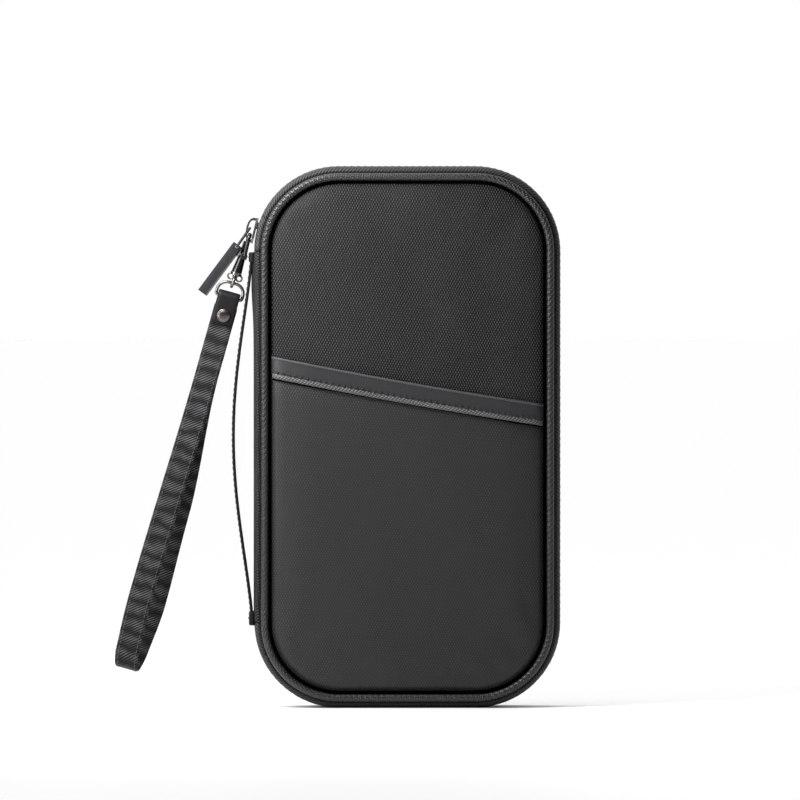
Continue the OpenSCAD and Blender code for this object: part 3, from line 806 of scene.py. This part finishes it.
def coil(half, side):
    """A row of nylon teeth inside the tape, each a rounded loop."""
    path = zip_path(1.0, 57, CUT_ARC, CUT_ARC)
    lengths = lengths_along([Vector((p[0], p[1])) for p in path])
    section = [(0, 0.55), (0.35, 0.4), (0.5, 0), (0.35, -0.4), (0, -0.55), (-0.35, -0.4), (-0.5, 0),
               (-0.35, 0.4)]
    swells = ((0.62, 0.3), (0.75, 0.85), (1.3, 1.0), (2.1, 0.9), (2.6, 0.6))
    size = len(section)
    verts, faces = [], []
    d = TEETH_PITCH / 2 + (TEETH_PITCH / 2 if side > 0 else 0)
    while d < lengths[-1]:
        k, past = span_at(lengths, d)
        t = past / (lengths[k + 1] - lengths[k])
        x, z, nx, nz = (path[k][i] * (1 - t) + path[k + 1][i] * t for i in range(4))
        along = Vector((nz, 0, -nx))
        inwards = Vector((-nx, 0, -nz))
        base = len(verts)
        for y, swell in swells:
            centre = Vector((x, ZIP_Y + side * y, z)) + inwards * TEETH_IN
            for a, b in section:
                verts.append(centre + along * a * swell * 1.1 + inwards * b * swell)
        faces += tube_faces(base, len(swells), size)
        d += TEETH_PITCH
    teeth = outward(new_object(f"{half}_zip_teeth", verts, faces, None, TEETH))
    place(teeth, f"{half}_half", f"{half}_zip_coil")


for half, side in HALVES:
    piping(half, side)
    gusset(half, side)
    coil(half, side)


# ---- spine and carry handle ----
SPINE_SECTION = [(5.0, 9.15), (4.2, 9.1), (3.4, 9.0), (2.9, 8.8), (2.5, 9.0), (2.0, 9.35), (1.4, 9.35),
                 (0.8, 8.95), (0.3, 8.25), (0.0, 7.3), (-0.15, 6.0), (-0.25, 4.0), (-0.3, 2.0), (-0.3, 0.0)]
SPINE_INSIDE = [(1.5, 0.0), (1.5, 4.0), (1.6, 7.0), (1.9, 7.8), (2.6, 8.3), (3.4, 8.55), (5.0, 8.8)]
SPINE_PULL = 0.9


def spine_half(half, side):
    """Half of the spine's cloth, from the seam at the piping to the middle, with turned ends."""
    rings = []
    z0, z1 = BOTTOM_Z + 0.3, TOP_Z - 0.3
    ends = [(0.0, 0.9), (0.25, 0.35), (0.8, 0.05), (1.6, 0.0)]
    levels = [(z0 + a, b) for a, b in ends] + [(z, 0.0) for z in np.linspace(z0 + 5, z1 - 5, 50)]
    levels += [(z1 - a, b) for a, b in ends[::-1]]
    for z, sink in levels:
        pull = SPINE_PULL * exp(-((z - 180.0) / 13.0) ** 2)
        outer = [(-HALF_W + i - pull * smooth_step((9 - y) / 5) + sink * (0.4 if i < 2 else 0), side * y, z)
                 for i, y in SPINE_SECTION]
        inner = [(-HALF_W + i - sink * 0.3, side * y, z) for i, y in SPINE_INSIDE]
        rings.append(outer + inner)
    return loft(f"spine_cloth_{half}", rings, SPINE)


for half, side in HALVES[::-1]:
    piece = spine_half(half, side)
    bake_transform(piece)
    if half == "back":
        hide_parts("spine_panel")

HANDLE_TOP = 193.4
HANDLE_BOTTOM = 37.0
HANDLE_X = -65.95
HANDLE_BOW = 7.9
HANDLE_W = 12.0
HANDLE_T = 1.7


def handle_line(count):
    """Points and outward directions along the middle of the handle strap."""
    pts = []
    for i in range(count):
        t = i / (count - 1)
        z = HANDLE_TOP + (HANDLE_BOTTOM - HANDLE_TOP) * t
        pts.append(Vector((HANDLE_X - HANDLE_BOW * sin(pi * t) ** 1.35, 0, z)))
    out = []
    for i, p in enumerate(pts):
        d = (pts[min(i + 1, count - 1)] - pts[max(i - 1, 0)]).normalized()
        out.append((p, Vector((d.z, 0, -d.x))))
    return out


def strap_section(width, thick, bulge=0.15, edge=0.45):
    """A flat strap's section with rounded edges: [across, out]."""
    w, h = width / 2, thick / 2
    rise = h + bulge * 0.7
    top = [(-w + edge, h), (-w * 0.6, rise), (0, h + bulge), (w * 0.6, rise), (w - edge, h)]
    right = [(w - 0.1, h * 0.55), (w, 0.0), (w - 0.1, -h * 0.55)]
    return top + right + [(x, -y) for x, y in top[::-1]] + [(-x, y) for x, y in right[::-1]]


def carry_handle():
    line = handle_line(70)
    section = strap_section(HANDLE_W, HANDLE_T - 0.6, 0.08, 0.3)
    rings = [[(p.x + n.x * o, a, p.z + n.z * o) for a, o in section] for p, n in line]
    strap = loft("carry_handle_strap", rings, HANDLE)
    place(strap, "spine", "side_handle")
    for name, edge in HALVES:
        row = [(p.x + n.x * 0.5, edge * (HANDLE_W / 2 - 1.5), p.z + n.z * 0.5) for p, n in line]
        stitch_row(f"handle_stitches_{name}", row, [n for _, n in line], THREAD_GREY, "spine", 2.4, 1.8, 0.2)


def keeper(name, node):
    """The stitched patch over an end of the handle."""
    low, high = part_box(node)
    x_out, z0, z1 = low.x / MM + 0.3, low.z / MM, high.z / MM
    half = high.y / MM
    edge = [(half - 1.4, x_out), (half - 0.5, x_out + 0.25), (half - 0.05, x_out + 1.0), (half, -HALF_W)]
    outer = [(-y, x) for y, x in edge[::-1]] + [(0, x_out - 0.12)] + edge
    inside = x_out + 0.75
    inner = [(half - 1.0, -HALF_W), (half - 1.1, inside), (1.1 - half, inside), (1.0 - half, -HALF_W)]
    rings = []
    for z, k in ((z0, 0.25), (z0 + 0.3, 0.0), (z0 + 1.2, 0.0), (z1 - 1.2, 0.0), (z1 - 0.3, 0.0), (z1, 0.25)):
        rings.append([(x + k, y, z) for y, x in outer + inner])
    place(loft(name, rings, HANDLE), "spine", node)
    row = [(x_out - 0.1, y, (z0 + z1) / 2) for y in np.linspace(-half + 1.6, half - 1.6, 12)]
    stitch_row(f"{name}_stitches", row, [(-1, 0, 0)] * len(row), THREAD_GREY, "spine", 1.9, 1.4, 0.18)


carry_handle()
keeper("handle_patch_upper", "handle_end_upper")
keeper("handle_patch_lower", "handle_end_lower")


# ---- wrist strap ----
STRAP_LEAN = radians(15.7)
STRAP_TOP = Vector((-75.918, ZIP_Y, 174.354))
STRAP_W = 10.0
STRAP_T = 1.5
STRAP_LEN = 164.0
LOOP_R = 6.6
ALONG = Vector((-sin(STRAP_LEAN), 0, -cos(STRAP_LEAN)))
ACROSS = Vector((cos(STRAP_LEAN), 0, -sin(STRAP_LEAN)))


def in_strap(across, depth, along):
    return STRAP_TOP + ACROSS * across + Vector((0, depth, 0)) + ALONG * along


def curve_at(stations, t):
    """A smooth value through [t, value] stations."""
    k, past = span_at([s[0] for s in stations], t)
    u = smooth_step(past / (stations[k + 1][0] - stations[k][0]))
    return stations[k][1] * (1 - u) + stations[k + 1][1] * u


FRONT_DRIFT = [(0, 0.0), (30, 0.0), (134, -1.7), (165, -0.6)]
BACK_DRIFT = [(0, 0.0), (32, 0.0), (95, 3.9), (134, 4.6), (165, 2.4)]


def loop_line():
    """Middle of the strap, down the front run, round the bottom and up the back run.

    Each point is [across, depth, along, outward depth, outward along].
    """
    out = []
    bottom = STRAP_LEN - LOOP_R

    def half(t):
        return STRAP_T / 2 + 0.05 + (LOOP_R - STRAP_T - 0.05) * smooth_step((t - 14) / 110)

    ts = list(np.linspace(4, bottom, 60))
    for t in ts:
        out.append((curve_at(FRONT_DRIFT, t), -half(t), t, -1.0, 0.0))
    r = LOOP_R - STRAP_T / 2
    for i in range(1, 14):
        a = pi * i / 14
        f = i / 14
        drift = curve_at(FRONT_DRIFT, bottom) * (1 - f) + curve_at(BACK_DRIFT, bottom) * f
        out.append((drift, -r * cos(a), bottom + r * sin(a), -cos(a), sin(a)))
    for t in ts[::-1]:
        out.append((curve_at(BACK_DRIFT, t), half(t), t, 1.0, 0.0))
    return out


def strap_rings(line, section):
    """The section set at each point of a line, in the strap's own directions."""
    return [[in_strap(across + a, depth + out_d * o, along + out_a * o) for a, o in section]
            for across, depth, along, out_d, out_a in line]


def wrist_loop():
    rings = strap_rings(loop_line(), strap_section(STRAP_W, STRAP_T - 0.25, 0.12))
    cloth_loop = loft("wrist_strap_cloth", rings, STRAP)
    place(cloth_loop, "wrist_strap", "wrist_loop")
    line = loop_line()[8:-8]
    normals = [Vector((0, od, 0)) + ALONG * oa for _, _, _, od, oa in line]
    for name, edge in (("left", -1), ("right", 1)):
        shift = edge * (STRAP_W / 2 - 1.25)
        row = [in_strap(c + shift, d + od * 0.72, al + oa * 0.72) for c, d, al, od, oa in line]
        stitch_row(f"strap_stitches_{name}", row, normals, THREAD_STRAP, "wrist_strap", 2.2, 1.7, 0.2)


def strap_tab():
    """The leather tab: down the front layer, round the D-ring's bar, and down the longer back layer."""
    mid = STRAP_T + 0.6
    line = [(0, -mid, t, -1.0, 0.0) for t in (11.4, 10.6, 9.0, 6.0, 3.0, 0.5)]
    for a in range(0, 181, 15):
        c, s = cos(radians(a)), sin(radians(a))
        line.append((0, -mid * c, -mid * s, -c, -s))
    line += [(0, mid, t, 1.0, 0.0) for t in (0.5, 3.0, 6.0, 9.0, 12.4, 13.4)]
    width = STRAP_W - 0.5
    end, middle = strap_section(width - 1.2, 0.85, 0.08, 0.3), strap_section(width, 0.85, 0.08, 0.3)
    rings = strap_rings(line[:1], end) + strap_rings(line[1:-1], middle) + strap_rings(line[-1:], end)
    tab = loft("strap_tab_leather", rings, LEATHER)
    place(tab, "wrist_strap", "strap_tab")


def lathe(name, centre, axis, side, profile, material, count=40):
    """A turned piece: profile of [radius, along axis]."""
    axis, side = Vector(axis).normalized(), Vector(side).normalized()
    third = axis.cross(side)
    rings = []
    for i in range(count):
        a = 2 * pi * i / count
        out = side * cos(a) + third * sin(a)
        rings.append([Vector(centre) + out * r + axis * h for r, h in profile])
    return outward(loft(name, rings, material, close_ring=False, close_path=True))


def rivet():
    out = STRAP_T + 1.1
    dome = [(0.01, -0.3), (2.8, -0.3), (2.92, 0.05), (2.9, 0.35), (2.76, 0.58), (2.5, 0.72), (2.35, 0.7),
            (2.2, 0.76), (1.7, 0.95), (1.0, 1.06), (0.01, 1.1)]
    disc = [(0.01, -0.3), (2.4, -0.3), (2.5, 0.1), (2.3, 0.5), (1.6, 0.62), (1.2, 0.4), (0.01, 0.35)]
    cap = lathe("rivet_cap_dome", in_strap(0, -out, 8), (0, -1, 0), ACROSS, dome, RIVET)
    place(cap, "wrist_strap", "rivet_cap")
    base = lathe("rivet_base_disc", in_strap(0, out, 8), (0, 1, 0), ACROSS, disc, GUNMETAL)
    place(base, "wrist_strap", "rivet_base")


wrist_loop()
strap_tab()
rivet()


# ---- metal fittings kept from the frame ----
def finish_node(name, material, bevel):
    """A CAD node keeps its shape and gets a finish, and its sharp edges a small round."""
    obj = nodes[name]
    obj.data.materials.clear()
    obj.data.materials.append(material)
    if bevel:
        modifier = obj.modifiers.new("Edge", "BEVEL")
        modifier.width = bevel * MM
        modifier.segments = 2
        modifier.limit_method = "ANGLE"
        modifier.angle_limit = radians(35)


for name, material, bevel in (
        ("slider_body", GUNMETAL, 0.15), ("slider_bridge", GUNMETAL, 0.25), ("puller_link", BLACK_METAL, 0),
        ("puller_bar", BAR_PAINT, 0.22), ("clasp_body", BLACK_METAL, 0.25), ("gate_pin", GUNMETAL, 0.08),
        ("clasp_gate", BLACK_METAL, 0.2), ("swivel_eye", GUNMETAL, 0.2), ("d_ring", GUNMETAL, 0),
        ("zip_top_stop", GUNMETAL, 0.1), ("zip_bottom_stop", GUNMETAL, 0.1), ("back_board", BOARD, 0),
        ("front_board", BOARD, 0)):
    finish_node(name, material, bevel)


# ---- linings and pockets inside ----
LINING_Y = 7.3
BOARD_IN = 5.4
CLOTH_T = 0.45


def lining(half, side):
    """The lining cloth over the board, drawn in a little along its seam, with soft ripples near the edge."""
    obj = cover_mesh(f"{half}_lining_cloth", -side, LINING, 0.0)
    middle = CASE_H / 2
    wide = (HALF_W - BOARD_IN + 0.1) / (HALF_W - COVER_IN)
    tall = (middle - BOARD_IN + 0.1) / (middle - COVER_IN)
    for v in obj.data.vertices:
        x, z = v.co.x / MM, v.co.z / MM
        d = edge_distance(x, z)
        ripple = 0.07 * sin(x * 0.55 + z * 0.13) * sin(z * 0.41) * exp(-d / 9.0)
        y = side * (LINING_Y + 0.3 - 0.3 * smooth_step(d / 3.0) + ripple)
        v.co = Vector((x * wide, y, middle + (z - middle) * tall)) * MM
    obj.data.update()
    place(obj, f"{half}_half", f"{half}_lining")


def pocket_profile(height, z0, z1, hem):
    """A pocket's section from its lower fold to its hemmed mouth and back down inside.

    Each point is [height off the lining, z].
    """
    h = height
    outer = [(0.05, z0 + 0.1), (h * 0.5, z0 - 0.05), (h * 0.9, z0 + 0.25), (h, z0 + 0.9), (h, z0 + 2.2)]
    outer += [(h, z0 + (z1 - hem - z0) * t) for t in (0.2, 0.4, 0.6, 0.8)]
    outer += [(h, z1 - hem - 0.25), (h + 0.3, z1 - hem), (h + 0.34, z1 - hem + 0.7), (h + 0.34, z1 - 0.8)]
    outer += [(h + 0.3, z1 - 0.25), (h + 0.05, z1), (h - 0.25, z1 - 0.1), (h - CLOTH_T, z1 - 0.5)]
    inner = [(h - CLOTH_T, z0 + (z1 - hem - z0) * t) for t in (0.9, 0.6, 0.3)]
    return outer + inner + [(h - CLOTH_T, z0 + 1.3), (h * 0.5, z0 + 0.6), (0.05, z0 + 0.5)]


def inside_pocket(name, half, side, x0, x1, z0, z1, height, material, hem=6.5, slack=0.25, drop=0.0):
    """A flat pocket on the lining: a slightly slack sheet with turned edges, a hem and rows of stitches."""
    def rise(x):
        return 0.12 + 0.88 * smooth_step((min(x - x0, x1 - x) + 0.25) / 1.5)

    def belly(x):
        return sin(pi * (x - x0) / (x1 - x0)) ** 2

    def up(z):
        return (z - z0) / (z1 - z0)

    def droop(x, z):
        return drop * belly(x) * smooth_step(up(z))

    def face(x, z):
        return (height + slack * belly(x) * up(z)) * rise(x)

    rings = []
    edges = [0.0, 0.15, 0.5, 1.0, 1.6]
    xs = [x0 + e for e in edges] + list(np.linspace(x0 + 3.5, x1 - 3.5, 34)) + [x1 - e for e in edges[::-1]]
    for x in xs:
        ring = []
        for off, z in pocket_profile(height, z0, z1, hem):
            wave = 0.05 * sin(x * 0.23 + z * 0.11)
            out = off * rise(x) + (slack * belly(x) * up(z) * off / height + wave) * rise(x)
            ring.append((x, side * (LINING_Y - max(out, 0.02)), z - droop(x, z)))
        rings.append(ring)
    obj = loft(f"{name}_cloth", rings, material)
    place(obj, f"{half}_half", name)

    z = z1 - hem + 1.0
    row = [(x, side * (LINING_Y - face(x, z) - 0.34), z - droop(x, z))
           for x in np.linspace(x0 + 2.5, x1 - 2.5, 40)]
    lining_stitches(f"{name}_cloth_hem_stitches", row, half, side)
    left, right, low, high = x0 + 2.2, x1 - 2.2, z0 + 2.2, z1 - hem - 1.0
    corners = [(left, high), (left, low), (right, low), (right, high)]
    steps = 12
    for k, (p, q) in enumerate(zip(corners, corners[1:])):
        row = []
        for i in range(steps + 1):
            x, z = (a + (b - a) * i / steps for a, b in zip(p, q))
            row.append((x, side * (LINING_Y - face(x, z) + 0.02), z))
        lining_stitches(f"{name}_cloth_seam_{k + 1}", row, half, side)


CARD_STEP = 20.0
CARD_LOW = 56.0
CARD_OFF = 0.8
CARD_LAYER = 0.55


def slot_height(k):
    """How far card slot k stands off the lining; slot 1 is the lowest and outermost."""
    return CARD_OFF + CARD_LAYER * (4 - k)


def slot_stack(z):
    """Height of the stack of card slots at some z: one layer less above each slot's mouth but the last."""
    fewer = sum(smooth_step((z - CARD_LOW - k * CARD_STEP) / 4.0) for k in range(3))
    return slot_height(1) - CARD_LAYER * fewer + 0.35


def binding(name, x):
    """The folded tape that closes one side of the card slots."""
    z0, z1 = 14.5, 118.0
    rings = []
    for z in np.linspace(z0, z1, 30):
        end = min(z - z0, z1 - z)
        h = slot_stack(z) * (0.5 + 0.5 * smooth_step(end / 1.2))
        section = [(-2.1, 0.05), (-2.05, h * 0.7), (-1.7, h), (0, h + 0.12), (1.7, h), (2.05, h * 0.7),
                   (2.1, 0.05)]
        rings.append([(x + a, -(LINING_Y - b), z) for a, b in section])
    place(loft(name, rings, TAPE), "front_half")
    row = [(x, -(LINING_Y - slot_stack(z) - 0.1), z) for z in np.linspace(z0 + 1, z1 - 1, 40)]
    lining_stitches(f"{name}_stitches", row, "front", -1)


def seam_binding(half, side):
    """The tape folded over the raw edges where lining, board and zip tape meet, all round the inside."""
    section = [(2.7, 8.3), (2.6, 7.7), (3.0, 7.15), (3.8, 6.85), (5.0, 6.8), (6.1, 6.9), (6.6, 7.15),
               (6.5, 7.35), (4.8, 7.5), (3.6, 8.0)]
    path = full_path(3.0, 20)
    tape = sweep(f"{half}_seam_binding", path, mirrored(section, side), TAPE, close_path=True)
    place(tape, f"{half}_half")
    row = [ring_at(p, [(5.6, side * 6.83)])[0] for p in path]
    lining_stitches(f"{half}_binding_stitches", row, half, side, 3.2, 2.2)


def zip_flap():
    """A dust strip inside the zip, sewn to the back half along the top, the right side and the bottom."""
    y0, y1 = ZIP_Y - 1.8, ZIP_Y + 6.5
    section = [(3.15, y1), (3.1, y0 + 2.0), (3.1, y0 + 0.3), (3.3, y0), (3.55, y0 + 0.3), (3.6, y0 + 2.0),
               (3.6, y1)]
    strip = sweep("zip_dust_strip", zip_path(3.0, 26)[30:-27], section, TAPE)
    place(strip, "back_half")


zip_flap()
for half, side in HALVES:
    lining(half, side)
    seam_binding(half, side)
for k in (1, 2, 3, 4):
    inside_pocket(f"card_slot_{k}", "front", -1, -52, 40, 16 + (k - 1) * 1.2, CARD_LOW + (k - 1) * CARD_STEP,
                  slot_height(k), LINING if k % 2 else LINING_DARK, hem=5.0, slack=0.05)
binding("card_binding_left", -52.0)
binding("card_binding_right", 40.0)
# x from and to, z from and to, height off the lining, and how far the mouth droops
for name, half, side, x0, x1, z0, z1, height, material, drop in (
        ("note_pocket", "front", -1, -54, 54, 134, 200, 1.4, LINING_DARK, 3.0),
        ("passport_pocket", "back", 1, -54, 54, 14, 142, 1.4, LINING, 2.0),
        ("ticket_pocket", "back", 1, -52, 52, 16, 96, 2.6, LINING_DARK, 2.5),
        ("boarding_pocket", "back", 1, -54, 54, 150, 202, 1.4, LINING_DARK, 1.5)):
    inside_pocket(name, half, side, x0, x1, z0, z1, height, material, drop=drop)


# ---- cloth ends of the zip ----
END_HALF = 4.0
SLOT_HALF = 0.75
SLOT_FROM = 6.0


def end_strip(name, z, a0, a1, y0, y1):
    """A stretch of zip tape bent round a corner of the case, between two depths."""
    arc = arc_points(-CORNER_X, z, a0, a1, 10)
    section = [(0.0, y0 + 0.25), (0.0, y1 - 0.25), (0.22, y1), (0.95, y1), (1.18, y1 - 0.25),
               (1.18, y0 + 0.25), (0.95, y0), (0.22, y0)]
    return sweep(name, arc, section, TAPE)


def end_tongue(name, z0, z1):
    """The flat end of the tape, tucked under the spine's cloth."""
    tip = END_HALF - 0.3
    section = [(1.65, -tip), (1.65, tip), (1.8, END_HALF), (2.05, END_HALF), (2.18, tip), (2.18, -tip),
               (2.05, -END_HALF), (1.8, -END_HALF)]
    rings = [[(-HALF_W + i, ZIP_Y + y, z) for i, y in section] for z in np.linspace(z0, z1, 5)]
    return loft(name, rings, TAPE)


def zip_ends():
    low, high = ZIP_Y - END_HALF, ZIP_Y + END_HALF
    reach = CUT_ARC - 1.5
    split, top = 180 - SLOT_FROM, 180 - reach
    upper = [end_strip("zip_end_base", TOP_Z, 180, split, low, high),
             end_strip("zip_end_front", TOP_Z, split, top, low, ZIP_Y - SLOT_HALF),
             end_strip("zip_end_back", TOP_Z, split, top, ZIP_Y + SLOT_HALF, high),
             end_tongue("zip_end_tongue", TOP_Z - 7, TOP_Z - 0.1)]
    lower = [end_strip("zip_end_low", BOTTOM_Z, -180, -180 + reach, low, high),
             end_tongue("zip_end_low_tongue", BOTTOM_Z + 0.1, BOTTOM_Z + 7)]
    place(join("zip_end_cloth_upper", upper), "spine", "zip_end_upper")
    place(join("zip_end_cloth_lower", lower), "spine", "zip_end_lower")


zip_ends()


# ---- stage ----
def floor():
    """A plain pale floor, 12 m each way."""
    size = 6000
    corners = [(-size, -size, 0), (size, -size, 0), (size, size, 0), (-size, size, 0)]
    s = Shader("floor_paint")
    s.set(Base_Color=(0.955, 0.955, 0.955, 1), Roughness=0.55, Specular_IOR_Level=0.2)
    new_object("floor", corners, [(0, 1, 2, 3)], None, s.material)


def aim(obj, direction):
    obj.rotation_euler = direction.to_track_quat("-Z", "Y").to_euler()


def area_light(name, spot, target, width, height, power):
    """A rectangular lamp that the camera doesn't see. Power is in watts."""
    data = bpy.data.lights.new(name, "AREA")
    data.shape = "RECTANGLE"
    data.size = width
    data.size_y = height
    data.energy = power
    obj = link(bpy.data.objects.new(name, data))
    obj.location = spot
    aim(obj, Vector(target) - Vector(spot))
    obj.visible_camera = False


def sky():
    """Studio surroundings: they light the case from behind more than from the camera's side."""
    world = bpy.data.worlds.new("studio")
    bpy.context.scene.world = world
    world.use_nodes = True
    new, connect = world.node_tree.nodes.new, world.node_tree.links.new
    coords = new("ShaderNodeTexCoord")
    parts = new("ShaderNodeSeparateXYZ")
    ramp = new("ShaderNodeMapRange")
    fill(ramp, From_Min=-0.05, From_Max=0.38, To_Min=0.04, To_Max=1.0)
    background = world.node_tree.nodes["Background"]
    fill(background, Color=(1, 1, 1, 1))
    connect(coords.outputs["Generated"], parts.inputs[0])
    connect(parts.outputs[1], ramp.inputs["Value"])
    # the surroundings look plain white, whatever light each side gives
    rays = new("ShaderNodeLightPath")
    seen = new("ShaderNodeMath")
    seen.operation = "MAXIMUM"
    connect(ramp.outputs[0], seen.inputs[0])
    connect(rays.outputs["Is Camera Ray"], seen.inputs[1])
    connect(seen.outputs[0], background.inputs[1])


def studio():
    centre = (0, 0, 0.12)
    area_light("key", (-0.215, -0.135, 0.26), centre, 0.05, 0.36, 1.2)
    area_light("corner", (-0.11, -0.12, 0.31), (-0.03, -0.01, 0.2), 0.06, 0.06, 0.58)
    sun = bpy.data.lights.new("wide", "SUN")
    sun.energy = 2.0
    sun.angle = radians(50)
    aim(link(bpy.data.objects.new("wide", sun)), Vector((0.25, -0.2, -1.0)))
    bpy.context.scene.view_settings.view_transform = "Standard"


def camera():
    """A long lens, nearly square on to the front."""
    azimuth, elevation = radians(-1.0), radians(1.8)
    view_width = 0.3404
    target = Vector((-0.0030, 0, 0.1306))
    data = bpy.data.cameras.new("camera")
    data.lens = 500
    data.sensor_width = 36
    distance = view_width * data.lens / data.sensor_width
    flat = cos(elevation)
    direction = Vector((sin(azimuth) * flat, -cos(azimuth) * flat, sin(elevation)))
    obj = link(bpy.data.objects.new("camera", data))
    obj.location = target + direction * distance
    aim(obj, -direction)
    bpy.context.scene.camera = obj


floor()
sky()
studio()
camera()
